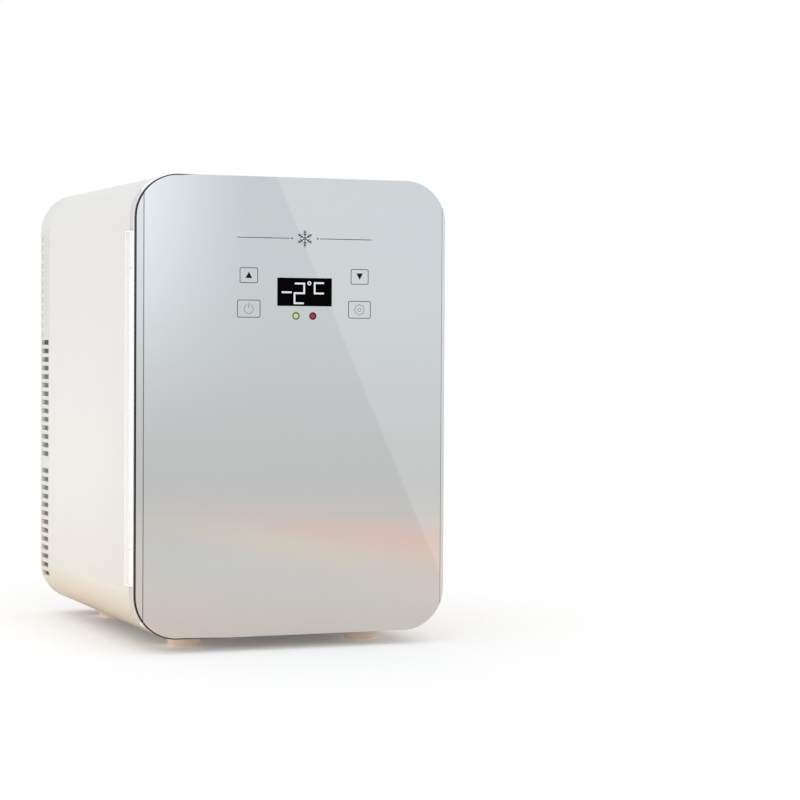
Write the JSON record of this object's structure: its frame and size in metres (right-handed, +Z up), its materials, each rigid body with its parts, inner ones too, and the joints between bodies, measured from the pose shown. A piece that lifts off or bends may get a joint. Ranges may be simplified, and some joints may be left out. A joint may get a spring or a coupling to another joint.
{
  "type": "mini fridge",
  "caption": "Thermoelectric mini fridge with rounded edges, a hinged glass-fronted door with a touch panel and display, slotted rear cover, shelves and door bins.",
  "frame": {"origin": "On the floor, under the middle of the bounding box", "axes": "+Z up, the door faces -Y, +X is to the right seen from the front"},
  "size_m": [0.28, 0.345, 0.404],
  "materials": {
    "shell_white": "warm white moulded shell, satin gloss",
    "frame_white": "bright white moulding",
    "cover_white": "fine-grained white moulding",
    "liner_grey": "pale grey vacuum-formed liner",
    "liner_white": "white moulding",
    "foam": "rigid polyurethane foam",
    "bulkhead_grey": "grey moulded plastic",
    "steel": "zinc-plated steel",
    "fan_black": "black glass-filled plastic",
    "rotor_grey": "dark grey plastic",
    "aluminium": "extruded fins",
    "ceramic_white": "alumina faces of the cooling modules",
    "shelf_clear": "clear moulded shelf",
    "bin_clear": "clear moulded bin",
    "foot_rubber": "translucent brownish grey rubber",
    "board_green": "circuit board",
    "component": "wound and boxed components",
    "socket_black": "black socket housing",
    "rocker_black": "black rocker",
    "contact_brass": "plated contacts",
    "lead_black": "insulated lead",
    "mirror_glass": "silver-backed bevelled glass",
    "seal_black": "black seal",
    "gasket_grey": "pale grey gasket",
    "magnet_black": "magnetic strip",
    "display_black": "smoked display window",
    "digit_white": "lit segments",
    "lamp_green": "lit lamp",
    "lamp_red": "lit lamp"
  },
  "bodies": {
    "cabinet": {"cabinet_shell": "shell_white", "front_bezel": "frame_white", "inner_liner": "liner_grey", "cabinet_insulation": "foam", "rear_bulkhead": "bulkhead_grey", "rear_cover": "cover_white", "fan_guard_upper": "cover_white", "fan_guard_lower": "cover_white", "rear_cover_screws": "steel", "exhaust_fan_frame_upper": "fan_black", "exhaust_fan_frame_lower": "fan_black", "heat_sink_upper": "aluminium", "heat_sink_lower": "aluminium", "thermoelectric_modules": "ceramic_white", "cold_blocks": "aluminium", "cold_sink_upper": "aluminium", "cold_sink_lower": "aluminium", "cold_fan_frame_upper": "fan_black", "cold_fan_frame_lower": "fan_black", "cold_air_cover": "liner_white", "temperature_probe": "steel", "shelf_upper": "shelf_clear", "shelf_lower": "shelf_clear", "foot_front_left": "foot_rubber", "foot_front_right": "foot_rubber", "foot_rear_left": "foot_rubber", "foot_rear_right": "foot_rubber", "foot_screws": "steel", "power_board": "board_green", "power_board_parts": "component", "power_heat_sink": "aluminium", "ac_inlet": "socket_black", "dc_inlet": "socket_black", "inlet_pins": "contact_brass", "switch_body": "socket_black", "cabinet_lead": "lead_black", "strike_plate": "steel", "hinge_pin_upper": "steel", "hinge_pin_lower": "steel"},
    "door": {"door_frame": "frame_white", "glass_panel": "mirror_glass", "glass_seal": "seal_black", "door_liner": "liner_white", "door_insulation": "foam", "door_gasket": "gasket_grey", "door_magnet": "magnet_black", "door_bin_upper": "bin_clear", "door_bin_lower": "bin_clear", "display_board": "board_green", "display_lens": "display_black", "display_digits": "digit_white", "indicator_green": "lamp_green", "indicator_red": "lamp_red", "touch_pads": "contact_brass", "door_lead": "lead_black"},
    "exhaust_fan_upper": {"exhaust_fan_rotor_upper": "rotor_grey"},
    "exhaust_fan_lower": {"exhaust_fan_rotor_lower": "rotor_grey"},
    "cold_fan_upper": {"cold_fan_rotor_upper": "rotor_grey"},
    "cold_fan_lower": {"cold_fan_rotor_lower": "rotor_grey"},
    "power_rocker": {"switch_rocker": "rocker_black"}
  },
  "joints": [
    {"name": "door_hinge", "type": "hinge", "parent": "cabinet", "child": "door", "pos_m": [-0.131, -0.1535, 0.208], "axis": [0, 0, -1], "range_deg": [0, 105]},
    {"name": "exhaust_fan_upper_spin", "type": "hinge", "parent": "cabinet", "child": "exhaust_fan_upper", "pos_m": [0, 0.1515, 0.208], "axis": [0, 1, 0], "continuous": true},
    {"name": "exhaust_fan_lower_spin", "type": "hinge", "parent": "cabinet", "child": "exhaust_fan_lower", "pos_m": [0, 0.1515, 0.084], "axis": [0, 1, 0], "continuous": true},
    {"name": "cold_fan_upper_spin", "type": "hinge", "parent": "cabinet", "child": "cold_fan_upper", "pos_m": [0, 0.0306, 0.208], "axis": [0, 1, 0], "continuous": true},
    {"name": "cold_fan_lower_spin", "type": "hinge", "parent": "cabinet", "child": "cold_fan_lower", "pos_m": [0, 0.0306, 0.084], "axis": [0, 1, 0], "continuous": true},
    {"name": "power_rocker_tilt", "type": "hinge", "parent": "cabinet", "child": "power_rocker", "pos_m": [-0.032, 0.1655, 0.33], "axis": [1, 0, 0], "range_deg": [-16, 0]}
  ]
}
